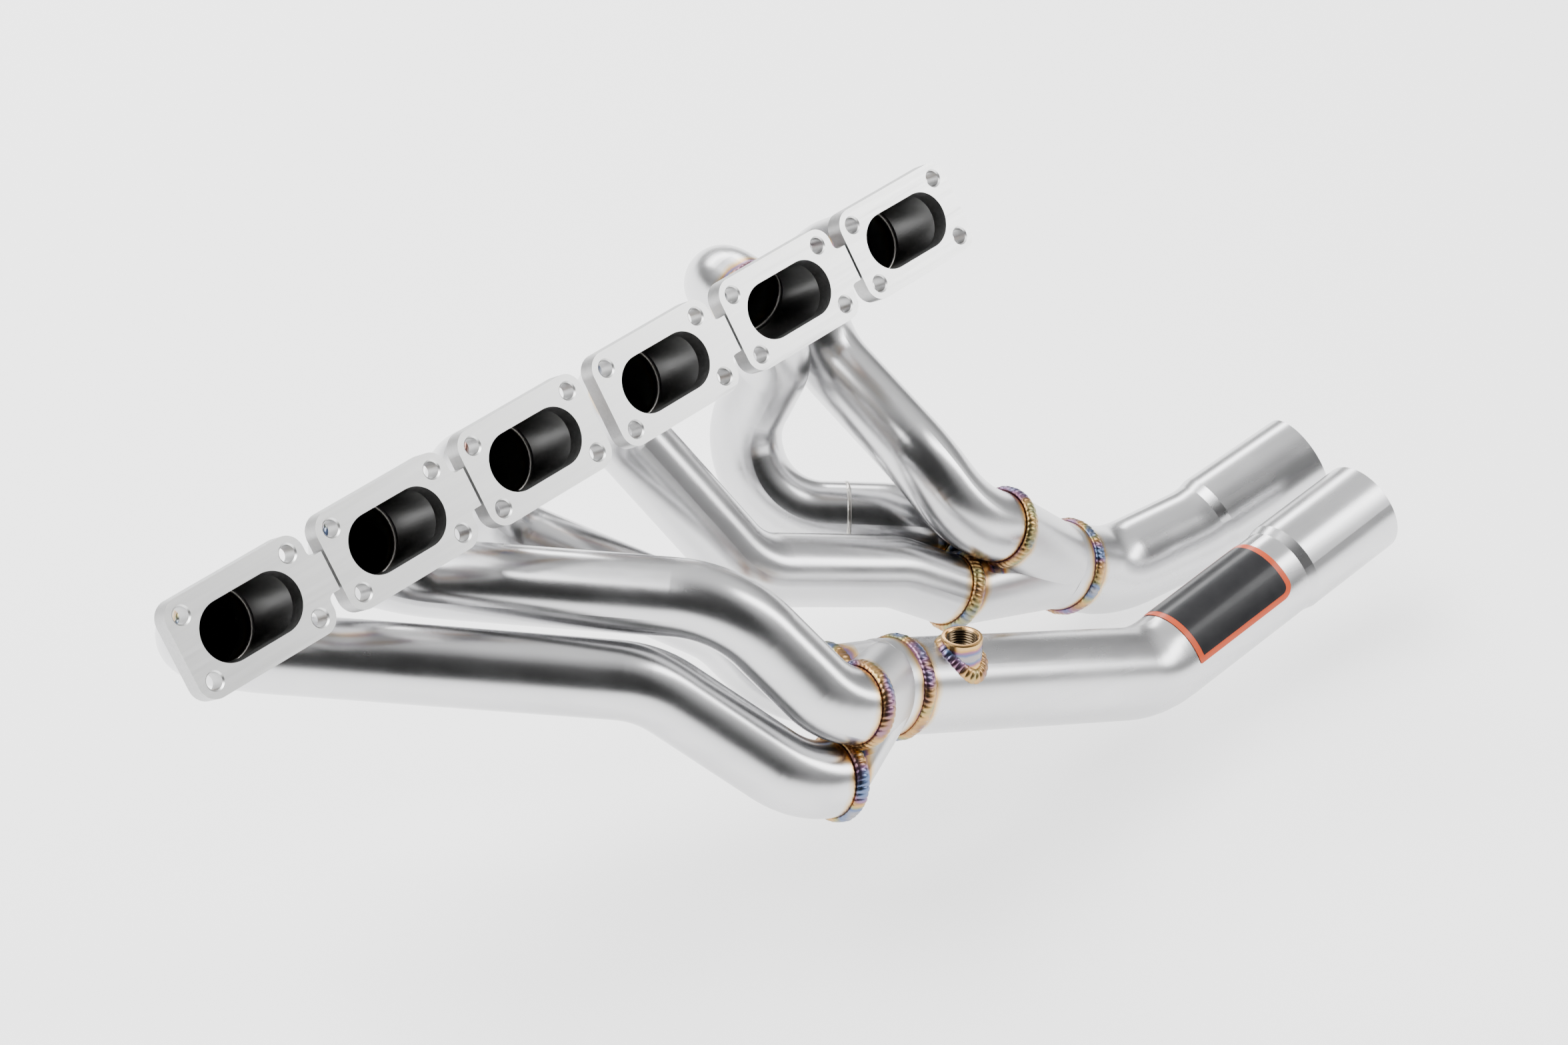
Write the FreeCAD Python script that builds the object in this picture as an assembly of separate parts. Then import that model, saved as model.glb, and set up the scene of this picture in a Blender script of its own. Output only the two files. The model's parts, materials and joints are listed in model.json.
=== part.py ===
import FreeCAD, Part
import os
import math

# Two-piece tubular exhaust header for an in-line six: a front header for ports 1 to 3 and a
# rear header for ports 4 to 6. Every shape is drawn in the flange frame (mm): x along the port
# row towards the rear, y up the flange plates, z out of the port faces towards the engine.
# The whole part is then tipped about x so that the port faces look upwards, as on the engine.

V = FreeCAD.Vector
os.makedirs("parts", exist_ok=True)

FACE_TILT = 54.0          # turn about x that takes flange y, z into upright y, z
ORIGIN = V(0, 20, 0)      # point on the first port face, above its opening

# port row and flange plates
PORTS = 6
PORT_PITCH = 91.0
PLATE_W = 82.0
PLATE_H = 51.0
PLATE_T = 10.0
PLATE_R = 9.5
PORT_W = 58.0
PORT_H = 30.5
STUD_X = 32.0
STUD_Y = 17.0
STUD_R = 4.2
STUD_MOUTH_R = 5.0
STUD_CHAMFER = 0.8
TONGUE_END = 48.4         # x where the tongue stops short of the next plate
TONGUE_HALF_H = 10.0
TONGUE_ROOT_R = 3.5
TONGUED = (1, 2, 4, 5)    # plates that reach towards their right neighbour

# tubes
TUBE_R = 20.0
WALL = 1.5
STUB_LIP = 3.0            # round lip of the oval stub, where the tube is welded on
STUB_SIDE_ARC = 48.0      # half angle of the round end that answers the oval's side arcs
OUTLET_R = 25.5
SOCKET_R = 27.0
SOCKET_BORE_R = 25.6
SOCKET_LEN = 66.0
SHOULDER_LEN = 6.0

# collectors
ENTRY_LIP = 0.7           # collector mouth stands this far outside the tube
COLLAR_LEN = 14.0
THROAT_OVERLAP = 4.0      # the cones run this far into the collar
THROAT_INSET = 0.3
ENTRY_DEPTH = 16.0        # length of tube that the collector's mouths close on

# weld beads: radius of each ring's section, and how far its centre stands off the tube
BEAD_TUBE = 2.0
BEAD_TUBE_PROUD = 0.4
BEAD_COLLECTOR = 2.8
BEAD_COLLECTOR_PROUD = 0.8
BEAD_OUTLET = 2.6
BEAD_OUTLET_PROUD = 0.3
BEAD_FLANGE = 3.0
BEAD_BOSS = 3.2

# sensor boss
BOSS_R = 11.0
BOSS_BORE_R = 7.25
BOSS_STATION = 37.2       # distance along the front outlet from the collector
BOSS_ROOT = 4.0           # start of the boss along its axis, inside the pipe wall
BOSS_DRILL = 60.0         # length of the drill that opens the bore through the pipe wall
BOSS_SHIFT = V(-1.4, -5.0, 8.5)
BOSS_AXIS = V(0.114, 0.847, 0.519)
BOSS_RIM = 33.7

# label on the front outlet
LABEL_START = 19.0
LABEL_LEN = 76.0
LABEL_ARC = 120.0
LABEL_T = 0.4
LABEL_FACING = V(-0.72, 0.50, 0.48)

# route corners of each primary: start, bends, end; and the centreline radius of each bend
PRIMARIES = {
    1: ([V(0, 0, -34), V(0, 0, -104), V(184, -129.5, -6), V(231.5, -212.5, 5.5), V(255, -223, 3.5)],
        [40, 60, 50]),
    2: ([V(91, 0, -34), V(91, 0, -123), V(225, -110, 28), V(255, -185, 29), V(271.5, -192.5, 27)],
        [40, 60, 40]),
    3: ([V(182, 0, -34), V(182, 0, -131), V(254, -130.5, -27), V(261, -172, -11), V(286.5, -184, -13.5)],
        [40, 50, 44]),
    4: ([V(273, 0, -34), V(273, 0, -69), V(322.5, -124.5, -80.5), V(415, -170.5, -87),
         V(450.5, -200.5, -91)],
        [36, 45, 60]),
    5: ([V(369, 6, -36), V(379.5, 31, -78.5), V(415.5, -35, -91), V(399.5, -67, -135),
         V(395, -117, -143.5), V(450, -152.5, -105), V(474, -166.5, -109)],
        [30, 30, 40, 45, 40]),
    6: ([V(455, 0, -34), V(455, 0, -136), V(450, -124, -64.5), V(459, -166, -62.5), V(483, -180, -67.5)],
        [42, 50, 52]),
}

# outlets start where the collector collar ends
FRONT_EXIT = V(316.5, -202, 0.5)
FRONT_AXIS = V(0.905, -0.414, -0.094)
REAR_EXIT = V(538, -227, -99)
REAR_AXIS = V(0.847, -0.497, -0.189)
FRONT_OUTLET = ([FRONT_EXIT, V(489.5, -281.5, -18), V(667, -270, 7)], [60])
REAR_OUTLET = ([REAR_EXIT, V(571.5, -246.7, -106.5), V(627.5, -250.5, -87.5), V(703, -244, -61)], [50, 60])


def unit(v):
    out = V(v)
    out.normalize()
    return out


def circle_wire(centre, normal, radius, reference=V(0, 1, 0.3)):
    """Circle of two half arcs whose start lies towards the reference direction."""
    n = unit(normal)
    x_dir = unit(reference - n * reference.dot(n))
    y_dir = n.cross(x_dir)
    first = Part.Arc(centre + x_dir * radius, centre + y_dir * radius, centre - x_dir * radius)
    second = Part.Arc(centre - x_dir * radius, centre - y_dir * radius, centre + x_dir * radius)
    return Part.Wire([first.toShape(), second.toShape()])


def rod(start, end, radius):
    return Part.makeCylinder(radius, (end - start).Length, start, end - start)


def route_wire(points, radii):
    """Straight runs joined by tangent arcs."""
    edges = []
    at = points[0]
    for i, radius in enumerate(radii):
        corner = points[i + 1]
        d_in = unit(corner - points[i])
        d_out = unit(points[i + 2] - corner)
        setback = radius * math.tan(d_in.getAngle(d_out) / 2)
        arc_start = corner - d_in * setback
        arc_end = corner + d_out * setback
        inward = unit(d_out - d_in)
        to_corner = radius / math.cos(d_in.getAngle(d_out) / 2)
        middle = corner + inward * (to_corner - radius)
        edges.append(Part.makeLine(at, arc_start))
        edges.append(Part.Arc(arc_start, middle, arc_end).toShape())
        at = arc_end
    edges.append(Part.makeLine(at, points[-1]))
    return Part.Wire(edges)


def solid_route(points, radii, radius):
    """Solid bar of the given radius along a route."""
    profile = circle_wire(points[0], points[1] - points[0], radius)
    return route_wire(points, radii).makePipeShell([profile], True, False)


def hollow_route(points, radii, outer, inner):
    return solid_route(points, radii, outer).cut(solid_route(points, radii, inner))


def end_direction(points):
    return unit(points[-1] - points[-2])


def obround_wire(width, height, centre, z_dir=V(0, 0, 1), x_dir=V(1, 0, 0)):
    """Closed slot outline of four edges: top line, right arc, bottom line, left arc."""
    r = height / 2
    flat = width / 2 - r
    y_dir = unit(z_dir.cross(x_dir))

    def at(x, y):
        return centre + x_dir * x + y_dir * y

    return Part.Wire([
        Part.makeLine(at(-flat, r), at(flat, r)),
        Part.Arc(at(flat, r), at(flat + r, 0), at(flat, -r)).toShape(),
        Part.makeLine(at(flat, -r), at(-flat, -r)),
        Part.Arc(at(-flat, -r), at(-flat - r, 0), at(-flat, r)).toShape(),
    ])


def round_wire(radius, centre, z_dir=V(0, 0, 1), x_dir=V(1, 0, 0)):
    """Circle cut into four arcs that answer the four edges of the slot outline."""
    y_dir = unit(z_dir.cross(x_dir))
    side = math.radians(STUB_SIDE_ARC)

    def at(angle):
        return centre + x_dir * (radius * math.cos(angle)) + y_dir * (radius * math.sin(angle))

    marks = [math.pi - side, side, -side, side - math.pi]
    middles = [math.pi / 2, 0.0, -math.pi / 2, math.pi]
    arcs = []
    for i in range(4):
        arcs.append(Part.Arc(at(marks[i]), at(middles[i]), at(marks[(i + 1) % 4])).toShape())
    return Part.Wire(arcs)


def port_centre(port):
    return V(PORT_PITCH * (port - 1), 0, 0)


def flange(port):
    plate = Part.makeBox(PLATE_W, PLATE_H, PLATE_T, V(-PLATE_W / 2, -PLATE_H / 2, -PLATE_T))
    uprights = [e for e in plate.Edges if abs(e.tangentAt(e.FirstParameter).z) > 0.9]
    plate = plate.makeFillet(PLATE_R, uprights)
    if port in TONGUED:
        reach = TONGUE_END - PLATE_W / 2
        tongue = Part.makeBox(reach + 5, 2 * TONGUE_HALF_H, PLATE_T,
                              V(PLATE_W / 2 - 5, -TONGUE_HALF_H, -PLATE_T))
        plate = plate.fuse(tongue)
        for side in (-1, 1):
            y = side * TONGUE_HALF_H
            low = min(y, y + side * TONGUE_ROOT_R)
            web = Part.makeBox(TONGUE_ROOT_R, TONGUE_ROOT_R, PLATE_T, V(PLATE_W / 2, low, -PLATE_T))
            hollow = Part.makeCylinder(TONGUE_ROOT_R, PLATE_T, V(PLATE_W / 2 + TONGUE_ROOT_R,
                                       y + side * TONGUE_ROOT_R, -PLATE_T))
            plate = plate.fuse(web.cut(hollow))
        plate = plate.removeSplitter()
    opening = Part.Face(obround_wire(PORT_W, PORT_H, V(0, 0, -PLATE_T))).extrude(V(0, 0, PLATE_T))
    plate = plate.cut(opening)
    for sx in (-1, 1):
        for sy in (-1, 1):
            at = V(sx * STUD_X, sy * STUD_Y, -PLATE_T)
            hole = Part.makeCylinder(STUD_R, PLATE_T, at)
            mouth = Part.makeCone(STUD_R, STUD_MOUTH_R, STUD_CHAMFER, at + V(0, 0, PLATE_T - STUD_CHAMFER))
            plate = plate.cut(hole).cut(mouth)
    plate.translate(port_centre(port))
    return plate


def stub_frame(port):
    """End centre and end direction of the oval-to-round stub."""
    points = PRIMARIES[port][0]
    return points[0], unit(points[1] - points[0])


def stub_solid(port, width, height, radius):
    end, direction = stub_frame(port)
    x_dir = unit(V(1, 0, 0) + direction * (-direction.x))
    start = port_centre(port) + V(0, 0, -PLATE_T)
    lip_start = end - direction * STUB_LIP
    slot = obround_wire(width, height, start)
    ring = round_wire(radius, lip_start, direction * -1, x_dir)
    return Part.makeLoft([slot, ring], True, True).fuse(rod(lip_start, end, radius))


def stub_outer(port):
    return stub_solid(port, PORT_W + 2 * WALL, PORT_H + 2 * WALL, TUBE_R)


def stub(port):
    return stub_outer(port).cut(stub_solid(port, PORT_W, PORT_H, TUBE_R - WALL))


def flange_bead(port):
    base = port_centre(port) + V(0, 0, -PLATE_T)
    grow = 2 * (WALL + BEAD_FLANGE)
    wide = obround_wire(PORT_W + grow, PORT_H + grow, base)
    slim = obround_wire(PORT_W + 2 * WALL - 1, PORT_H + 2 * WALL - 1, base + V(0, 0, -BEAD_FLANGE))
    return Part.makeLoft([wide, slim], True, True).cut(stub_outer(port))


def ring_bead(centre, axis, ring_r, bead_r):
    return Part.makeTorus(ring_r, bead_r, centre, unit(axis))


def primary(port):
    points, radii = PRIMARIES[port]
    return hollow_route(points, radii, TUBE_R, TUBE_R - WALL)


def tube_end(port):
    """Solid bar that fills the last stretch of a primary."""
    points = PRIMARIES[port][0]
    return rod(points[-1] - end_direction(points) * ENTRY_DEPTH, points[-1], TUBE_R)


def stub_bead(port):
    """Weld ring over the joint between the stub's lip and the tube."""
    start, direction = stub_frame(port)
    bead = ring_bead(start, direction, TUBE_R + BEAD_TUBE_PROUD, BEAD_TUBE)
    return bead.cut(rod(start - direction * STUB_LIP, start + direction * STUB_LIP, TUBE_R))


def collector_body(ports, exit_at, axis, wall_step, exit_r):
    """Three cones that run from the tube mouths into one round collar."""
    mouth_r = TUBE_R + ENTRY_LIP - wall_step
    merged = rod(exit_at - axis * COLLAR_LEN, exit_at, exit_r)
    for port in ports:
        points = PRIMARIES[port][0]
        mouth = circle_wire(points[-1], end_direction(points), mouth_r)
        throat = circle_wire(exit_at - axis * (COLLAR_LEN - THROAT_OVERLAP), axis, exit_r - THROAT_INSET)
        merged = merged.fuse(Part.makeLoft([mouth, throat], True, True))
    return merged


def collector(ports, exit_at, axis):
    outer = collector_body(ports, exit_at, axis, 0.0, OUTLET_R)
    inner = collector_body(ports, exit_at, axis, ENTRY_LIP + WALL, OUTLET_R - WALL)
    body = outer.cut(inner)
    for port in ports:
        body = body.cut(tube_end(port))
    return body


def outlet(route):
    points, radii = route
    direction = end_direction(points)
    shoulder_at = points[-1] - direction * SOCKET_LEN
    pipe_points = points[:-1] + [shoulder_at - direction * SHOULDER_LEN]
    pipe = hollow_route(pipe_points, radii, OUTLET_R, OUTLET_R - WALL)
    cone_at = pipe_points[-1]
    shoulder = Part.makeCone(OUTLET_R, SOCKET_R, SHOULDER_LEN, cone_at, direction)
    shoulder = shoulder.cut(Part.makeCone(OUTLET_R - WALL, SOCKET_BORE_R, SHOULDER_LEN, cone_at, direction))
    socket = rod(shoulder_at, points[-1], SOCKET_R).cut(rod(shoulder_at, points[-1], SOCKET_BORE_R))
    return pipe.multiFuse([shoulder, socket]).removeSplitter()


def outlet_bar(route):
    return solid_route(route[0], route[1], OUTLET_R)


def boss_foot():
    return FRONT_EXIT + unit(FRONT_AXIS) * BOSS_STATION + BOSS_SHIFT


def boss_bar(radius, low, high):
    foot = boss_foot()
    axis = unit(BOSS_AXIS)
    return rod(foot + axis * low, foot + axis * high, radius)


def boss():
    blank = boss_bar(BOSS_R, BOSS_ROOT, BOSS_RIM).cut(outlet_bar(FRONT_OUTLET))
    return blank.cut(boss_bar(BOSS_BORE_R, 0, BOSS_DRILL))


def boss_bead():
    """Fillet of weld metal where the boss meets the outlet."""
    swollen = solid_route(FRONT_OUTLET[0], FRONT_OUTLET[1], OUTLET_R + BEAD_BOSS)
    collar = boss_bar(BOSS_R + BEAD_BOSS, 0, BOSS_RIM).common(swollen)
    return collar.cut(outlet_bar(FRONT_OUTLET)).cut(boss_bar(BOSS_R, 0, BOSS_RIM))


def label():
    corner, end = FRONT_OUTLET[0][1], FRONT_OUTLET[0][2]
    direction = unit(end - corner)
    start = corner + direction * LABEL_START
    stop = start + direction * LABEL_LEN
    shell = rod(start, stop, OUTLET_R + LABEL_T).cut(rod(start, stop, OUTLET_R))
    facing = unit(LABEL_FACING - direction * LABEL_FACING.dot(direction))
    half = math.radians(LABEL_ARC / 2)
    side = unit(direction.cross(facing))
    reach = 4 * OUTLET_R
    left = start + (facing * math.cos(half) + side * math.sin(half)) * reach
    right = start + (facing * math.cos(half) - side * math.sin(half)) * reach
    wedge = Part.Face(Part.makePolygon([start, left, start + facing * reach, right, start]))
    return shell.common(wedge.extrude(direction * LABEL_LEN))


def build():
    nodes = {}
    for port in range(1, PORTS + 1):
        nodes["port_flange_%d" % port] = flange(port)
        nodes["port_stub_%d" % port] = stub(port)
        nodes["primary_%d" % port] = primary(port)
        nodes["flange_weld_%d" % port] = flange_bead(port)
        nodes["stub_weld_%d" % port] = stub_bead(port)
    groups = {"front": ((1, 2, 3), FRONT_EXIT, unit(FRONT_AXIS), FRONT_OUTLET),
              "rear": ((4, 5, 6), REAR_EXIT, unit(REAR_AXIS), REAR_OUTLET)}
    for name, (ports, exit_at, axis, route) in groups.items():
        body = collector(ports, exit_at, axis)
        filled = collector_body(ports, exit_at, axis, 0.0, OUTLET_R)
        nodes[name + "_collector"] = body
        used = []
        for port in ports:
            points = PRIMARIES[port][0]
            bead = ring_bead(points[-1], end_direction(points), TUBE_R + BEAD_COLLECTOR_PROUD, BEAD_COLLECTOR)
            bead = bead.cut(filled)
            for other in ports:
                bead = bead.cut(tube_end(other))
            for earlier in used:
                bead = bead.cut(earlier)
            used.append(bead)
            nodes["collector_weld_%d" % port] = bead
        pipe = outlet(route)
        bead = ring_bead(exit_at, axis, OUTLET_R + BEAD_OUTLET_PROUD, BEAD_OUTLET)
        nodes[name + "_outlet_weld"] = bead.cut(filled).cut(outlet_bar(route))
        if name == "front":
            pipe = pipe.cut(boss_bar(BOSS_BORE_R, 0, BOSS_DRILL))
        nodes[name + "_outlet"] = pipe
    nodes["sensor_boss"] = boss()
    nodes["boss_weld"] = boss_bead()
    nodes["outlet_label"] = label()
    return nodes


def main():
    for name, shape in build().items():
        solids = shape.Solids
        shape = solids[0] if len(solids) == 1 else Part.makeCompound(solids)
        shape.translate(ORIGIN * -1)
        shape.rotate(V(0, 0, 0), V(1, 0, 0), FACE_TILT)
        shape.exportStep("parts/%s.step" % name)
        box = shape.BoundBox
        print("%-20s solids %d valid %s volume %.0f mm3  x %.0f..%.0f y %.0f..%.0f z %.0f..%.0f" % (
            name, len(solids), shape.isValid(), shape.Volume,
            box.XMin, box.XMax, box.YMin, box.YMax, box.ZMin, box.ZMax))


main()
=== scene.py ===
import bpy
import json
import math
import numpy as np
from mathutils import Matrix, Vector


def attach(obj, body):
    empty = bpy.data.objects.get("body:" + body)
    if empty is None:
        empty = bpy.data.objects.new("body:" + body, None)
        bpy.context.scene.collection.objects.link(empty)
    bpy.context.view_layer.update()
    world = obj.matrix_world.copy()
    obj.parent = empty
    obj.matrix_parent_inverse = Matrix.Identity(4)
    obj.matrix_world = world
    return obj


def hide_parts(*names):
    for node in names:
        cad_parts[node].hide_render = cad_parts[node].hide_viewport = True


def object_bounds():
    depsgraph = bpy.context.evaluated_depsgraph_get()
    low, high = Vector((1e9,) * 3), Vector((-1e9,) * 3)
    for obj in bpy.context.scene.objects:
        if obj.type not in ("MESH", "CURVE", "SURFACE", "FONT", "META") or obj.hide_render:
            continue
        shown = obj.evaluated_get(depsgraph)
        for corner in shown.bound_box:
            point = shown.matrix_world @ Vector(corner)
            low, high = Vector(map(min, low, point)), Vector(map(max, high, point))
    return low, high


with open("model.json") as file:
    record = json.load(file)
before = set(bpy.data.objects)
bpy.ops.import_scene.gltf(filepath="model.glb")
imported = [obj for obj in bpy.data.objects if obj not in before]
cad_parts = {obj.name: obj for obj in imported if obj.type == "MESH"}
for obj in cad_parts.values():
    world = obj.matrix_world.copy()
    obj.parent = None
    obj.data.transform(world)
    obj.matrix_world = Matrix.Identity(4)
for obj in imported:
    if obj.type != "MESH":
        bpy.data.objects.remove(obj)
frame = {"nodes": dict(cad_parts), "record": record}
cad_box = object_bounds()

# Tubular exhaust headers on a pale studio floor. The CAD tubes, plates and collectors keep their
# shape and get metal materials; welds, the threaded boss and the label are built here in detail.

MM = 0.001
NODES = frame["nodes"]
MOUNTS = {m["name"]: m for m in frame["record"]["mounts"]}
PORTS = range(1, 7)

TUBE_R = 20.0 * MM
OUTLET_R = 25.5 * MM
PLATE_T = 10.0 * MM
PORT_W = 58.0 * MM
PORT_H = 30.5 * MM
WALL = 1.5 * MM
FACE_POINT_UP = 20.0 * MM     # the face mounts sit this far above the port centre
NEAR_UPRIGHT = 0.95           # cosine past which an axis counts as upright


# ---------------------------------------------------------------- geometry helpers

def vertices(node):
    return np.array([v.co for v in NODES[node].data.vertices], float)


def unit(v):
    v = np.asarray(v, float)
    return v / np.linalg.norm(v)


def across(axis):
    """Two unit vectors square to the axis, the first as near to upright as it can be."""
    axis = unit(axis)
    hint = np.array([0.0, 0.0, 1.0])
    if abs(np.dot(axis, hint)) > NEAR_UPRIGHT:
        hint = np.array([1.0, 0.0, 0.0])
    u = unit(hint - axis * np.dot(hint, axis))
    return u, np.cross(axis, u)


def ring_of(node):
    """Centre, axis and radius of a weld ring, measured on its CAD node."""
    p = vertices(node)
    mean = p.mean(0)
    axis = np.linalg.svd(p - mean, full_matrices=False)[2][2]
    u, v = across(axis)
    x, y = (p - mean) @ u, (p - mean) @ v
    a = np.column_stack([2 * x, 2 * y, np.ones(len(x))])
    cx, cy, c = np.linalg.lstsq(a, x * x + y * y, rcond=None)[0]
    radius = math.sqrt(c + cx * cx + cy * cy)
    height = (p - mean) @ axis
    centre = mean + u * cx + v * cy + axis * (height.max() + height.min()) / 2
    return centre, axis, radius


def new_mesh(name, verts, faces):
    mesh = bpy.data.meshes.new(name)
    mesh.from_pydata([tuple(v) for v in verts], [], faces)
    mesh.validate()
    mesh.update()
    mesh.polygons.foreach_set("use_smooth", [True] * len(mesh.polygons))
    obj = bpy.data.objects.new(name, mesh)
    bpy.context.scene.collection.objects.link(obj)
    return obj


def grid_faces(rows, columns, wrap_rows=False, wrap_columns=False):
    faces = []
    for i in range(rows if wrap_rows else rows - 1):
        for j in range(columns if wrap_columns else columns - 1):
            a, b = i, (i + 1) % rows
            c, d = j, (j + 1) % columns
            faces.append((a * columns + c, a * columns + d, b * columns + d, b * columns + c))
    return faces


def add_piece(obj, material, slot, *nodes):
    obj.data.materials.append(material)
    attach(obj, "root")
    if nodes:
        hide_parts(*nodes)
    return obj


# ---------------------------------------------------------------- weld beads

RIPPLE_PITCH = 2.9 * MM
RIPPLE_STEPS = 7
BEAD_SIDES = 14
RIPPLE_DEPTH = 0.24
BEAD_ROOT = 0.5 * MM          # how far a bead reaches into the metal below it
RIPPLE_LEAN = 0.42            # how far each ripple bows ahead in the middle of the bead
RIPPLE_JITTER = 0.12          # largest shift of a ripple, in ripples
JITTER_SHARE = 0.3            # part of that shift which is used
RIPPLE_SWELL = (0.93, 1.07)   # range of the ripples' heights
RIPPLE_WAIST = 0.94           # width between ripples
RIPPLE_BULGE = 0.08           # what a ripple adds to it
FEWEST_RIPPLES = 8

# half width and height of each kind of bead
STUB_BEAD = (2.1 * MM, 1.9 * MM)
ROOT_BEAD = (0.9 * MM, 0.7 * MM)
COLLECTOR_BEAD = (4.3 * MM, 2.8 * MM)
FLANGE_BEAD = (2.2 * MM, 2.4 * MM)
OUTLET_BEAD = (4.0 * MM, 2.5 * MM)
BOSS_BEAD = (4.4 * MM, 3.2 * MM)
BUTT_SEAM = (1.2 * MM, 0.45 * MM)
STUB_BEAD_SUNK = 0.2 * MM
COLLECTOR_BEAD_PROUD = 0.3 * MM
FLANGE_BEAD_BEHIND = 0.6 * MM

# first seed of each kind; the port number is added
STUB_SEED, ROOT_SEED, COLLECTOR_SEED, FLANGE_SEED = 100, 150, 200, 300
OUTLET_SEEDS = {"front": 400, "rear": 401}
BUTT_SEED, BOSS_SEED = 500, 77


def bead(name, path, outwards, normals, half_width, height, seed):
    """Stack-of-coins weld along a closed path: a low crowned ridge with curved ripples."""
    rng = np.random.default_rng(seed)
    path = np.asarray(path)
    steps = np.linalg.norm(np.roll(path, -1, 0) - path, axis=1)
    run = np.concatenate([[0.0], np.cumsum(steps)[:-1]])
    total = steps.sum()
    count = max(FEWEST_RIPPLES, round(total / RIPPLE_PITCH))
    jitter = rng.uniform(-RIPPLE_JITTER, RIPPLE_JITTER, count + 1)
    swell = rng.uniform(*RIPPLE_SWELL, count + 1)
    verts = []
    for i, at in enumerate(path):
        phase = run[i] / total * count
        for j in range(BEAD_SIDES):
            angle = 2 * math.pi * j / BEAD_SIDES
            crown = max(0.0, math.cos(angle))
            shifted = (phase + RIPPLE_LEAN * crown) % count
            k = int(shifted)
            f = shifted - k + jitter[k] * JITTER_SHARE
            f = min(max(f, 0.0), 1.0)
            scallop = math.sqrt(max(0.0, 1 - (2 * f - 1) ** 2))
            lift = height * swell[k] * (1 - RIPPLE_DEPTH + RIPPLE_DEPTH * scallop)
            spread = half_width * (RIPPLE_WAIST + RIPPLE_BULGE * scallop)
            rise = lift * math.cos(angle) if crown > 0 else BEAD_ROOT * math.cos(angle)
            verts.append(at + outwards[i] * rise + normals[i] * (spread * math.sin(angle)))
    return new_mesh(name, verts, grid_faces(len(path), BEAD_SIDES, True, True))


def ring_bead(name, centre, axis, radius, half_width, height, seed, facing=1):
    """Round bead; facing is 1 on the outside of a tube and -1 for the root inside it."""
    samples = round(2 * math.pi * radius / RIPPLE_PITCH) * RIPPLE_STEPS
    u, v = across(axis)
    path, outwards = [], []
    for i in range(samples):
        angle = 2 * math.pi * i / samples
        out = u * math.cos(angle) + v * math.sin(angle)
        path.append(centre + out * radius)
        outwards.append(out * facing)
    return bead(name, path, outwards, [unit(axis)] * samples, half_width, height, seed)


def oval_bead(name, port, seed):
    """Weld round the oval stub where it meets the back of the flange plate."""
    mount = MOUNTS["port_face_%d" % port]
    normal = unit(mount["axis"])
    side = np.array([1.0, 0.0, 0.0])
    up = np.cross(normal, side)
    half_flat = (PORT_W - PORT_H) / 2
    radius = PORT_H / 2 + WALL
    centre = np.array(mount["pos_m"]) - up * FACE_POINT_UP - normal * (PLATE_T + FLANGE_BEAD_BEHIND)
    perimeter = 4 * half_flat + 2 * math.pi * radius
    samples = round(perimeter / RIPPLE_PITCH) * RIPPLE_STEPS
    path, outwards = [], []
    for i in range(samples):
        s = perimeter * i / samples
        if s < 2 * half_flat:
            out = up
            at = side * (s - half_flat) + up * radius
        elif s < 2 * half_flat + math.pi * radius:
            turn = (s - 2 * half_flat) / radius
            out = up * math.cos(turn) + side * math.sin(turn)
            at = side * half_flat + out * radius
        elif s < 4 * half_flat + math.pi * radius:
            out = -up
            at = side * (half_flat - (s - 2 * half_flat - math.pi * radius)) - up * radius
        else:
            turn = (s - 4 * half_flat - math.pi * radius) / radius
            out = -up * math.cos(turn) - side * math.sin(turn)
            at = -side * half_flat + out * radius
        path.append(centre + at)
        outwards.append(out)
    return bead(name, path, outwards, [normal] * samples, *FLANGE_BEAD, seed)


# ---------------------------------------------------------------- materials

STRAW = (0.62, 0.44, 0.20)
GOLD = (0.46, 0.26, 0.08)
PURPLE = (0.20, 0.09, 0.18)
BLUE = (0.07, 0.12, 0.25)
BROWN = (0.24, 0.12, 0.05)
OLIVE = (0.24, 0.23, 0.09)
GREY = (0.25, 0.25, 0.27)
# colour of the painted shade inside the boss's threaded bore
PAINTED_BORE_SHADE = (0.10, 0.07, 0.04)

GRAIN_SCALE = 150.0
STREAK_STRETCH = 0.96         # how much of the length along the tube the grain ignores
HEAT_WIDTH = 9.5 * MM
HEAT_MARGIN = 2.0 * MM        # past this much more than the ring's own reach there is no tint


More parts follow.
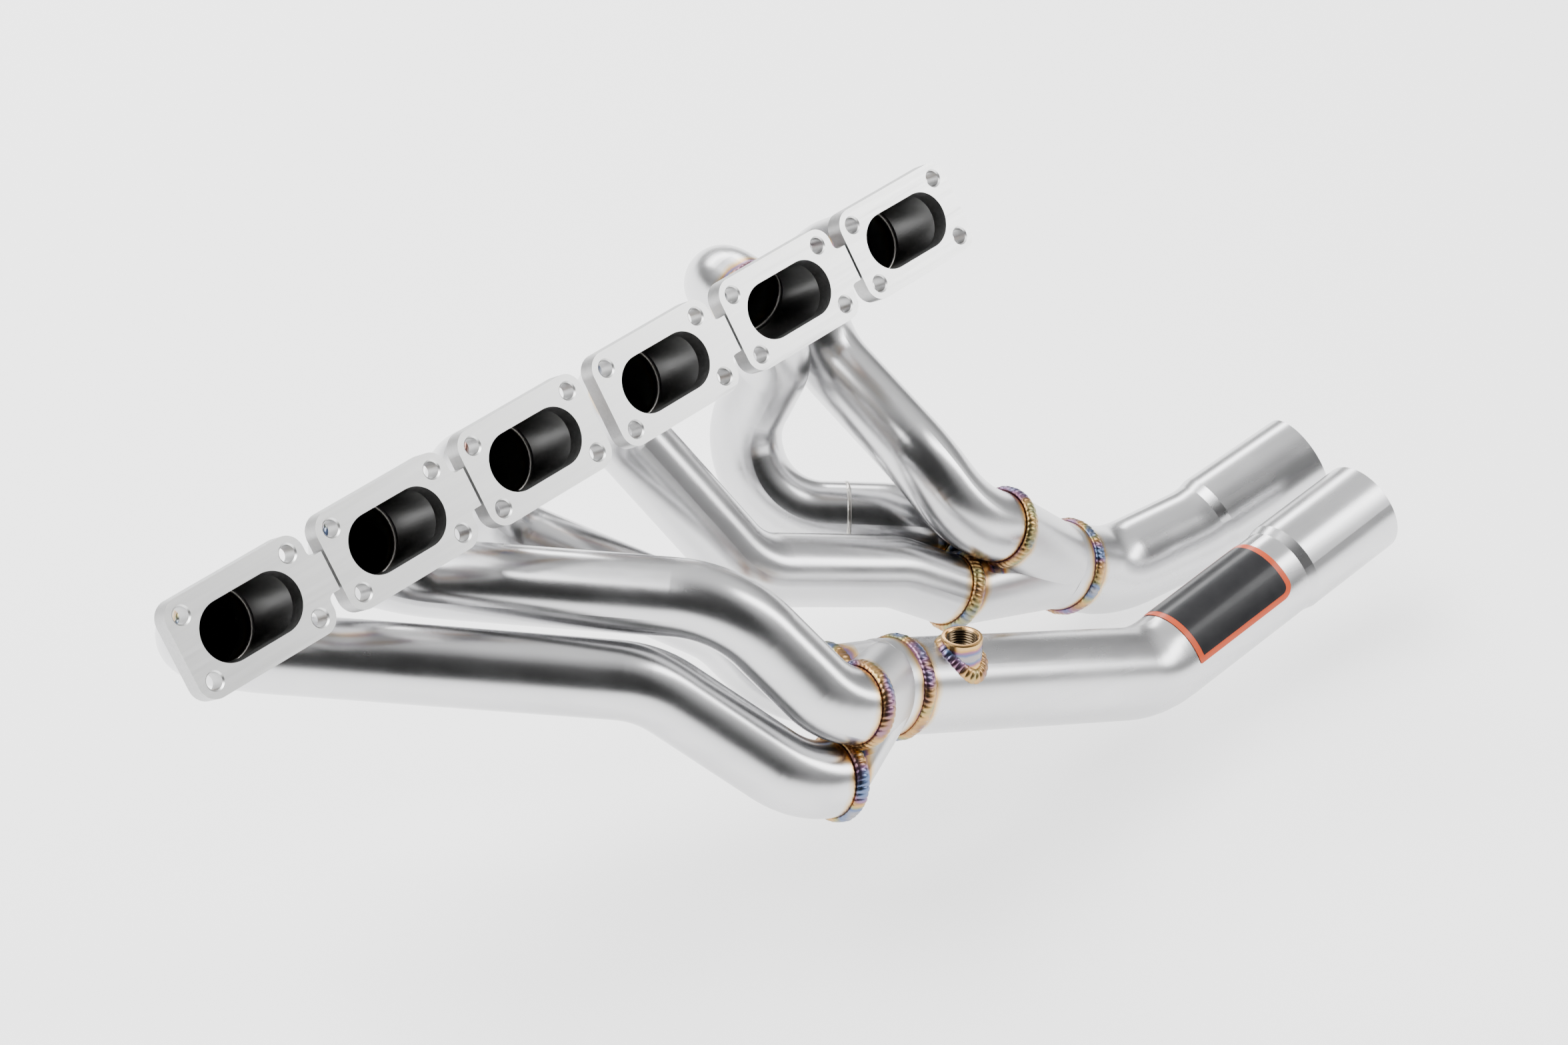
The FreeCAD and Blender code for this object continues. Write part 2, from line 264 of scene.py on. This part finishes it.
class Nodes:
    """Short way to add shader nodes and wire them up."""

    def __init__(self, name):
        self.material = bpy.data.materials.new(name)
        self.material.use_nodes = True
        self.tree = self.material.node_tree
        self.shader = self.tree.nodes["Principled BSDF"]
        self.place = self.add("ShaderNodeTexCoord").outputs["Object"]

    def add(self, kind, **settings):
        node = self.tree.nodes.new(kind)
        for key, value in settings.items():
            setattr(node, key, value)
        return node

    def wire(self, source, target):
        if hasattr(source, "is_output"):
            self.tree.links.new(source, target)
        else:
            target.default_value = source

    def math(self, operation, a, b=0.0, clamp=False):
        node = self.add("ShaderNodeMath", operation=operation, use_clamp=clamp)
        self.wire(a, node.inputs[0])
        self.wire(b, node.inputs[1])
        return node.outputs[0]

    def vector(self, operation, a, b=None):
        """Vector maths; a length or a dot product comes back as a number."""
        node = self.add("ShaderNodeVectorMath", operation=operation)
        self.wire(a, node.inputs[0])
        if b is not None:
            self.wire(b, node.inputs[1])
        return node.outputs["Value" if operation in ("DOT_PRODUCT", "LENGTH") else "Vector"]

    def noise(self, scale, detail=3.0, stretch=(1, 1, 1), turn=(0, 0, 0)):
        mapping = self.add("ShaderNodeMapping")
        mapping.inputs["Scale"].default_value = stretch
        mapping.inputs["Rotation"].default_value = turn
        self.wire(self.place, mapping.inputs["Vector"])
        node = self.add("ShaderNodeTexNoise")
        node.inputs["Scale"].default_value = scale
        node.inputs["Detail"].default_value = detail
        self.wire(mapping.outputs[0], node.inputs["Vector"])
        return node.outputs["Fac"]

    def streaks(self, axis, scale):
        """Noise drawn out along the axis, like the grain of a drawn or linished tube."""
        along = self.vector("DOT_PRODUCT", self.place, tuple(axis))
        squeeze = self.add("ShaderNodeVectorMath", operation="SCALE")
        squeeze.inputs[0].default_value = tuple(axis)
        self.wire(self.math("MULTIPLY", along, STREAK_STRETCH), squeeze.inputs["Scale"])
        node = self.add("ShaderNodeTexNoise")
        node.inputs["Scale"].default_value = scale
        node.inputs["Detail"].default_value = 5.0
        self.wire(self.vector("SUBTRACT", self.place, squeeze.outputs[0]), node.inputs["Vector"])
        return node.outputs["Fac"]

    def ramp(self, value, stops):
        node = self.add("ShaderNodeValToRGB")
        elements = node.color_ramp.elements
        while len(elements) < len(stops):
            elements.new(0.5)
        for element, (position, colour) in zip(elements, stops):
            element.position = position
            element.color = (*colour, 1.0)
        self.wire(value, node.inputs["Fac"])
        return node

    def mix(self, factor, a, b):
        node = self.add("ShaderNodeMix", data_type="RGBA")
        self.wire(factor, node.inputs["Factor"])
        for value, socket in ((a, node.inputs[6]), (b, node.inputs[7])):
            self.wire((*value, 1.0) if isinstance(value, tuple) else value, socket)
        return node.outputs[2]

    def spread(self, value, low, high):
        node = self.add("ShaderNodeMapRange")
        self.wire(value, node.inputs["Value"])
        node.inputs["To Min"].default_value = low
        node.inputs["To Max"].default_value = high
        return node.outputs["Result"]

    def bump(self, height, strength, distance):
        node = self.add("ShaderNodeBump")
        node.inputs["Strength"].default_value = strength
        node.inputs["Distance"].default_value = distance
        self.wire(height, node.inputs["Height"])
        self.wire(node.outputs["Normal"], self.shader.inputs["Normal"])


def heat_tint(n, base, rings):
    """Temper colours that fade away from each weld ring."""
    colour = base
    wobble = n.noise(90.0, 2.0)
    for centre, axis, radius in rings:
        away = n.vector("SUBTRACT", n.place, tuple(centre))
        distance = n.math("ABSOLUTE", n.vector("DOT_PRODUCT", away, tuple(axis)))
        drift = n.math("MULTIPLY", n.math("SUBTRACT", wobble, 0.5), 0.5)
        scaled = n.math("ADD", n.math("DIVIDE", distance, HEAT_WIDTH), drift, clamp=True)
        reach = math.hypot(radius, HEAT_WIDTH) + HEAT_MARGIN
        near = n.math("LESS_THAN", n.vector("LENGTH", away), reach)
        tint = n.ramp(scaled, [(0.12, GREY), (0.26, BLUE), (0.40, PURPLE), (0.54, GOLD), (0.74, STRAW)])
        fade = n.ramp(scaled, [(0.60, (0.92,) * 3), (0.99, (0.0,) * 3)])
        colour = n.mix(n.math("MULTIPLY", near, fade.outputs["Color"]), colour, tint.outputs["Color"])
    return colour


def painted_bore_shade(n, base, centre, axis, radius):
    """Painted shade: a darker colour on everything nearer to the axis than the radius, standing in for
    the shade inside a bore.
    """
    away = n.vector("SUBTRACT", n.place, tuple(centre))
    off_axis = n.vector("LENGTH", n.vector("CROSS_PRODUCT", away, tuple(axis)))
    return n.mix(n.math("LESS_THAN", off_axis, radius), base, PAINTED_BORE_SHADE)


def steel(name, colour, rough, axis=(1.0, 0.0, 0.0), rings=(), bump=0.06, patch=22.0, bore=None):
    """Bare steel: cloudy polish, grain along one straight axis, and heat tint beside the welds.

    bore, if given, is the centre, axis and radius of a hole whose wall gets a darker colour as painted
    shade.
    """
    n = Nodes(name)
    cloud = n.noise(patch, 4.0)
    grain = n.streaks(axis, GRAIN_SCALE)
    dark = tuple(c * 0.80 for c in colour)
    base = n.mix(cloud, dark, colour)
    line = n.ramp(grain, [(0.36, (1.0,) * 3), (0.56, (0.0,) * 3)])
    base = n.mix(n.math("MULTIPLY", line.outputs["Color"], 0.18), base, tuple(c * 0.70 for c in colour))
    base = heat_tint(n, base, rings)
    # Painted shade: the bore wall is coloured darker for the shade inside the hole.
    if bore:
        base = painted_bore_shade(n, base, *bore)
    n.wire(base, n.shader.inputs["Base Color"])
    n.shader.inputs["Metallic"].default_value = 1.0
    fine = n.noise(600.0, 3.0)
    low, high = rough
    polish = n.math("ADD", n.spread(cloud, low, high), n.spread(grain, -0.02, 0.04))
    n.wire(polish, n.shader.inputs["Roughness"])
    n.bump(fine, bump, 0.05 * MM)
    return n.material


def milled_plate(name):
    """Milled flange: straight fine cutter marks, a few light scratches, and sides and back painted greyer
    as shade.
    """
    n = Nodes(name)
    marks = n.noise(260.0, 4.0, (0.06, 2.2, 2.2))
    scratches = n.noise(55.0, 6.0, (0.10, 1.6, 1.6), (0.0, 0.0, 0.7))
    scratch_line = n.ramp(scratches, [(0.66, (0, 0, 0)), (0.70, (1, 1, 1))])
    base = n.mix(marks, (0.80, 0.80, 0.79), (0.90, 0.90, 0.89))
    base = n.mix(scratch_line.outputs["Color"], base, (0.66, 0.66, 0.66))
    # Painted shade: faces turned away from the port face, the sides and back, get a darker grey colour.
    normal = n.add("ShaderNodeTexCoord").outputs["Normal"]
    facing = n.vector("DOT_PRODUCT", normal, tuple(MOUNTS["port_face_1"]["axis"]))
    painted_shade_sides = n.math("LESS_THAN", facing, 0.5)
    base = n.mix(painted_shade_sides, base, n.mix(marks, (0.34, 0.34, 0.34), (0.50, 0.50, 0.50)))
    n.wire(base, n.shader.inputs["Base Color"])
    n.shader.inputs["Metallic"].default_value = 1.0
    n.wire(n.spread(marks, 0.30, 0.46), n.shader.inputs["Roughness"])
    n.bump(marks, 0.12, 0.05 * MM)
    return n.material


def weld_metal(name, scale):
    """Bead colours: blue, purple, brown, gold, olive and grey drifting along the seam, with a pale
    speckle.
    """
    n = Nodes(name)
    drift = n.noise(scale, 2.0)
    speckle = n.noise(420.0, 3.0)
    tint = n.ramp(drift, [(0.32, BLUE), (0.40, PURPLE), (0.46, BROWN), (0.52, GOLD), (0.58, OLIVE),
                          (0.64, BLUE), (0.72, GREY)])
    base = n.mix(n.math("MULTIPLY", speckle, 0.18), tint.outputs["Color"], (0.50, 0.45, 0.36))
    n.wire(base, n.shader.inputs["Base Color"])
    n.shader.inputs["Metallic"].default_value = 1.0
    n.wire(n.spread(speckle, 0.22, 0.42), n.shader.inputs["Roughness"])
    n.bump(speckle, 0.10, 0.08 * MM)
    return n.material


def printed_foil(name, colour, rough):
    """Glossy label film with a faint orange-peel surface and dusty patches."""
    n = Nodes(name)
    dust = n.noise(140.0, 4.0)
    dusty = tuple(0.05 + c for c in colour)
    n.wire(n.mix(n.math("MULTIPLY", dust, 0.18), colour, dusty), n.shader.inputs["Base Color"])
    n.wire(n.spread(dust, rough, rough + 0.14), n.shader.inputs["Roughness"])
    n.bump(dust, 0.05, 0.05 * MM)
    n.shader.inputs["Coat Weight"].default_value = 0.12
    n.shader.inputs["Specular IOR Level"].default_value = 0.25
    n.shader.inputs["Coat Roughness"].default_value = 0.12
    return n.material


def long_axis(node):
    """Direction in which a node's mesh is longest."""
    p = vertices(node)
    return np.linalg.svd(p - p.mean(0), full_matrices=False)[2][0]


def assign(node, material):
    obj = NODES[node]
    obj.data.materials.clear()
    obj.data.materials.append(material)


# ---------------------------------------------------------------- the welds and tubes

WELD_RINGS = {}
for port in PORTS:
    for kind in ("stub", "collector"):
        WELD_RINGS["%s_%d" % (kind, port)] = ring_of("%s_weld_%d" % (kind, port))
for end in ("front", "rear"):
    WELD_RINGS[end] = ring_of(end + "_outlet_weld")

weld_a = weld_metal("weld_seam", 38.0)
weld_b = weld_metal("weld_seam_cool", 24.0)
root_metal = steel("weld_root", (0.66, 0.64, 0.60), (0.22, 0.36), bump=0.10)

for port in PORTS:
    centre, axis, _ = WELD_RINGS["stub_%d" % port]
    ring = ring_bead("stub_bead_%d" % port, centre, axis, TUBE_R - STUB_BEAD_SUNK,
                     *STUB_BEAD, STUB_SEED + port)
    add_piece(ring, weld_b, "weld_bead", "stub_weld_%d" % port)
    root = ring_bead("root_bead_%d" % port, centre, axis, TUBE_R - WALL, *ROOT_BEAD, ROOT_SEED + port, -1)
    add_piece(root, root_metal, "weld_bead")
    centre, axis, _ = WELD_RINGS["collector_%d" % port]
    ring = ring_bead("collector_bead_%d" % port, centre, axis, TUBE_R + COLLECTOR_BEAD_PROUD,
                     *COLLECTOR_BEAD, COLLECTOR_SEED + port)
    add_piece(ring, weld_a, "weld_bead", "collector_weld_%d" % port)
    oval = oval_bead("flange_bead_%d" % port, port, FLANGE_SEED + port)
    add_piece(oval, weld_b, "weld_bead", "flange_weld_%d" % port)

for end, seed in OUTLET_SEEDS.items():
    centre, axis, _ = WELD_RINGS[end]
    ring = ring_bead(end + "_outlet_bead", centre, axis, OUTLET_R, *OUTLET_BEAD, seed)
    add_piece(ring, weld_a, "weld_bead", end + "_outlet_weld")

TUBE_STEEL = (0.68, 0.68, 0.69)
plate_metal = milled_plate("milled_flange")
stub_metal = steel("formed_stub", (0.40, 0.40, 0.40), (0.24, 0.40), bump=0.10)
for port in PORTS:
    assign("port_flange_%d" % port, plate_metal)
    assign("port_stub_%d" % port, stub_metal)
    rings = [WELD_RINGS["stub_%d" % port], WELD_RINGS["collector_%d" % port]]
    axis = long_axis("primary_%d" % port)
    tube = steel("polished_tube_%d" % port, TUBE_STEEL, (0.18, 0.30), axis, rings)
    assign("primary_%d" % port, tube)
for end, ports in (("front", (1, 2, 3)), ("rear", (4, 5, 6))):
    rings = [WELD_RINGS["collector_%d" % p] for p in ports] + [WELD_RINGS[end]]
    axis = long_axis(end + "_outlet")
    sheet = steel(end + "_collector_sheet", TUBE_STEEL, (0.26, 0.40), axis, rings, bump=0.09)
    assign(end + "_collector", sheet)
    pipe = steel(end + "_outlet_pipe", TUBE_STEEL, (0.20, 0.32), axis, [WELD_RINGS[end]])
    assign(end + "_outlet", pipe)


# Primary 5 is two bends joined in the middle of its last long run, with the seam dressed down.
FACE_TILT = math.radians(54.0)
RUN_5 = ((395.0, -117.0, -143.5), (450.0, -152.5, -105.0))     # flange frame, mm
SEAM_5_AT = 0.59                                               # part of the way along the run


def row_point(x, y, z):
    """Point of the flange frame, in mm, taken to the upright frame in metres."""
    y -= FACE_POINT_UP / MM
    return np.array([x, y * math.cos(FACE_TILT) - z * math.sin(FACE_TILT),
                     y * math.sin(FACE_TILT) + z * math.cos(FACE_TILT)]) * MM


seam_start, seam_stop = (row_point(*p) for p in RUN_5)
seam_at = seam_start + (seam_stop - seam_start) * SEAM_5_AT
seam = ring_bead("butt_seam_5", seam_at, unit(seam_stop - seam_start), TUBE_R, *BUTT_SEAM, BUTT_SEED)
add_piece(seam, root_metal, "weld_bead")


# ---------------------------------------------------------------- sensor boss

THREAD_PITCH = 1.5 * MM
THREAD_DEPTH = 0.85 * MM
THREAD_SIDES = 64
THREAD_STEPS = 120            # rings of vertices down the thread
THREAD_LEAD = 0.9 * MM        # chamfer at the mouth of the thread
BORE_MARGIN = 0.05 * MM
BOSS_EDGE = 0.8 * MM
BOSS_R = 11 * MM
BOSS_SHARP = math.radians(25.0)
SADDLE_STRETCH = 1.5          # the seam follows the pipe, so it is longer than the boss's girth


def boss_frame():
    """Origin and axis of the boss, the heights of its CAD mesh along the axis, and its radius."""
    mount = MOUNTS["sensor_thread"]
    axis = unit(mount["axis"])
    origin = np.array(mount["pos_m"])
    p = vertices("sensor_boss") - origin
    heights = p @ axis
    outer = np.linalg.norm(p - np.outer(heights, axis), axis=1).max()
    return origin, axis, heights, outer


def boss_lathe():
    """Turned boss with a chamfered rim and a real internal thread, as one closed shell."""
    origin, axis, heights, outer = boss_frame()
    rim, foot = heights.max(), heights.min()
    bore = MOUNTS["sensor_thread"]["dims"]["r_mm"] * MM
    u, v = across(axis)
    outline = [(outer, foot), (outer, rim - BOSS_EDGE), (outer - BOSS_EDGE * 0.4, rim - BOSS_EDGE * 0.2),
               (outer - BOSS_EDGE, rim), (bore + THREAD_DEPTH + THREAD_LEAD, rim),
               (bore + THREAD_DEPTH, rim - THREAD_LEAD)]
    thread_top = rim - THREAD_LEAD
    for i in range(1, THREAD_STEPS + 1):
        outline.append((None, thread_top + (foot - thread_top) * i / THREAD_STEPS))
    verts = []
    for radius, height in outline:
        for j in range(THREAD_SIDES):
            angle = 2 * math.pi * j / THREAD_SIDES
            r = radius
            if r is None:
                phase = (height / THREAD_PITCH - j / THREAD_SIDES) % 1.0
                r = bore + THREAD_DEPTH * abs(2 * phase - 1)
            verts.append(origin + axis * height + (u * math.cos(angle) + v * math.sin(angle)) * r)
    faces = grid_faces(len(outline), THREAD_SIDES, True, True)
    obj = new_mesh("threaded_boss", verts, faces)
    obj.data.set_sharp_from_angle(angle=BOSS_SHARP)
    return obj


def boss_seam():
    """Thick weld collar along the curve where the boss meets the pipe."""
    origin, axis, _, outer = boss_frame()
    pipe_at, pipe_axis, _ = WELD_RINGS["front"]
    u, v = across(axis)
    samples = round(2 * math.pi * outer * SADDLE_STRETCH / RIPPLE_PITCH) * RIPPLE_STEPS
    path, outwards = [], []
    flat = axis - pipe_axis * np.dot(axis, pipe_axis)
    for i in range(samples):
        angle = 2 * math.pi * i / samples
        out = u * math.cos(angle) + v * math.sin(angle)
        start = origin + out * outer - pipe_at
        start = start - pipe_axis * np.dot(start, pipe_axis)
        a, b, c = flat @ flat, 2 * start @ flat, start @ start - OUTLET_R ** 2
        root = max(0.0, b * b - 4 * a * c)
        height = (-b + math.sqrt(root)) / (2 * a)
        skin = start + flat * height
        path.append(origin + out * outer + axis * height)
        outwards.append(unit(unit(skin) + out))
    tangents = [unit(path[(i + 1) % samples] - path[i - 1]) for i in range(samples)]
    normals = [unit(np.cross(tangent, out)) for tangent, out in zip(tangents, outwards)]
    return bead("boss_bead", path, outwards, normals, *BOSS_BEAD, BOSS_SEED)


boss_at, boss_axis = boss_frame()[:2]
boss_ring = (boss_at, boss_axis, BOSS_R)
# Painted shade: the threaded bore is coloured darker, standing in for the shade inside the hole.
bore_reach = MOUNTS["sensor_thread"]["dims"]["r_mm"] * MM + THREAD_DEPTH + BORE_MARGIN
boss_bore_shade = (boss_at, boss_axis, bore_reach)
boss_metal = steel("heat_tinted_boss_and_painted_bore_shade", (0.52, 0.27, 0.09), (0.20, 0.34), boss_axis, [boss_ring],
                   bump=0.08, patch=70.0, bore=boss_bore_shade)
add_piece(boss_lathe(), boss_metal, "boss_steel", "sensor_boss")
add_piece(boss_seam(), weld_a, "weld_bead", "boss_weld")


# ---------------------------------------------------------------- label

LABEL_CORNER = 8.0 * MM
LABEL_BORDER = 3.6 * MM
LABEL_LEAST_CORNER = 1 * MM
LABEL_CORNER_STEPS = 14
LABEL_COLUMNS = 60
PANEL_LIFT = 0.08 * MM


def label_sheet(name, inset, lift):
    """Curved sheet on the outlet pipe with corners rounded at one end, inset from the label's edge."""
    mount = MOUNTS["front_outlet_socket"]
    axis = unit(mount["axis"])
    origin = np.array(mount["pos_m"])
    p = vertices("outlet_label") - origin
    along = p @ axis
    radial = p - np.outer(along, axis)
    radius = np.linalg.norm(radial, axis=1).max()
    facing = unit((radial.max(0) + radial.min(0)) / 2)
    side = np.cross(axis, facing)
    half = max(abs(math.atan2(r @ side, r @ facing)) for r in radial)
    half_width = half * radius - inset
    start, stop = along.min() + inset, along.max() - inset
    corner = max(LABEL_CORNER - inset, LABEL_LEAST_CORNER)
    rise = np.linspace(0, 1, LABEL_CORNER_STEPS) ** 2 * corner
    fall = np.linspace(1, 0, LABEL_CORNER_STEPS)[1:] ** 2 * corner
    stations = np.concatenate([rise, [stop - start - corner], stop - start - fall])
    verts = []
    for s in stations:
        cut = max(0.0, corner - (stop - start - s))
        width = half_width - corner + math.sqrt(max(0.0, corner ** 2 - cut ** 2))
        for j in range(LABEL_COLUMNS + 1):
            turn = width * (2 * j / LABEL_COLUMNS - 1) / radius
            out = facing * math.cos(turn) + side * math.sin(turn)
            verts.append(origin + axis * (start + s) + out * (radius + lift))
    return new_mesh(name, verts, grid_faces(len(stations), LABEL_COLUMNS + 1))


border = label_sheet("label_border", 0.0, 0.0)
panel = label_sheet("label_panel", LABEL_BORDER, PANEL_LIFT)
add_piece(border, printed_foil("label_red", (0.62, 0.08, 0.02), 0.28), "label", "outlet_label")
add_piece(panel, printed_foil("label_black", (0.012, 0.012, 0.014), 0.24), "label")


# ---------------------------------------------------------------- studio

# Camera solved from the flanges in the photo: its place, its three axes and its lens.
CAMERA_AT = Vector((-0.864, -1.155, 1.084))
CAMERA_RIGHT = Vector((0.6823, -0.7311, -0.0008))
CAMERA_UP = Vector((0.4358, 0.4059, 0.8034))
CAMERA_AHEAD = Vector((0.5870, 0.5485, -0.5954))
CAMERA_LENS = 89.1
SENSOR_WIDTH = 36.0

camera_data = bpy.data.cameras.new("camera")
camera_data.sensor_width = SENSOR_WIDTH
camera_data.lens = CAMERA_LENS
camera = bpy.data.objects.new("camera", camera_data)
bpy.context.scene.collection.objects.link(camera)
turn = Matrix((CAMERA_RIGHT, CAMERA_UP, -CAMERA_AHEAD)).transposed()
camera.matrix_world = Matrix.Translation(CAMERA_AT) @ turn.to_4x4()
bpy.context.scene.camera = camera

floor_z = cad_box[0].z
FLOOR_HALF = 12.0
FLOOR_GLOW = 1.35
corners = [(x * FLOOR_HALF, y * FLOOR_HALF, floor_z) for x, y in ((-1, -1), (1, -1), (1, 1), (-1, 1))]
floor = new_mesh("floor", corners, [(0, 1, 2, 3)])
paper = Nodes("pale_floor")
mottle = paper.mix(paper.noise(3.0), (0.90, 0.90, 0.90), (0.93, 0.93, 0.93))
paper.wire(mottle, paper.shader.inputs["Base Color"])
paper.shader.inputs["Roughness"].default_value = 0.9
paper.shader.inputs["Emission Color"].default_value = (1.0, 1.0, 1.0, 1.0)
paper.shader.inputs["Emission Strength"].default_value = FLOOR_GLOW
floor.data.materials.append(paper.material)

CENTRE = (cad_box[0] + cad_box[1]) / 2
SOFTBOXES = (                 # name, offset from the centre, size and power
    ("key", (-0.9, 0.9, 2.3), (2.6, 1.2), 105),
    ("fill", (1.7, -1.4, 1.5), (0.7, 2.2), 42),
    ("back", (1.0, 2.0, 1.1), (2.4, 0.5), 38),
)


def softbox(name, offset, size, power):
    data = bpy.data.lights.new(name, "AREA")
    data.shape = "RECTANGLE"
    data.size, data.size_y = size
    data.energy = power
    light = bpy.data.objects.new(name, data)
    light.location = CENTRE + Vector(offset)
    light.rotation_euler = (-Vector(offset)).to_track_quat("-Z", "Y").to_euler()
    bpy.context.scene.collection.objects.link(light)


for box in SOFTBOXES:
    softbox(*box)

DARK_SIDE = (-0.62, -0.55, 0.56)     # a dark part of the studio, which the tubes mirror as grey bands
HEIGHT_LEVELS = [(0.0, 0.16), (0.30, 0.40), (0.62, 1.0)]     # brightness by height, horizon to overhead
SIDE_LEVELS = [(0.38, 1.0), (0.80, 0.03)]                    # brightness towards the dark side
WORLD_STRENGTH = 1.15


def studio_world():
    """White overhead, grey horizon, and one dark side."""
    world = bpy.data.worlds.new("studio")
    world.use_nodes = True
    bpy.context.scene.world = world
    sky = world.node_tree
    place = sky.nodes.new("ShaderNodeTexCoord")
    split = sky.nodes.new("ShaderNodeSeparateXYZ")
    sky.links.new(place.outputs["Generated"], split.inputs[0])

    def ramp(source, stops):
        shade = sky.nodes.new("ShaderNodeValToRGB")
        elements = shade.color_ramp.elements
        while len(elements) < len(stops):
            elements.new(0.5)
        for element, (position, level) in zip(elements, stops):
            element.position = position
            element.color = (level, level, level, 1)
        sky.links.new(source, shade.inputs["Fac"])
        return shade.outputs["Color"]

    height = ramp(split.outputs["Z"], HEIGHT_LEVELS)
    towards = sky.nodes.new("ShaderNodeVectorMath")
    towards.operation = "DOT_PRODUCT"
    sky.links.new(place.outputs["Generated"], towards.inputs[0])
    towards.inputs[1].default_value = DARK_SIDE
    side = ramp(towards.outputs["Value"], SIDE_LEVELS)
    both = sky.nodes.new("ShaderNodeVectorMath")
    both.operation = "MULTIPLY"
    sky.links.new(height, both.inputs[0])
    sky.links.new(side, both.inputs[1])
    sky.links.new(both.outputs[0], sky.nodes["Background"].inputs["Color"])
    sky.nodes["Background"].inputs["Strength"].default_value = WORLD_STRENGTH


studio_world()
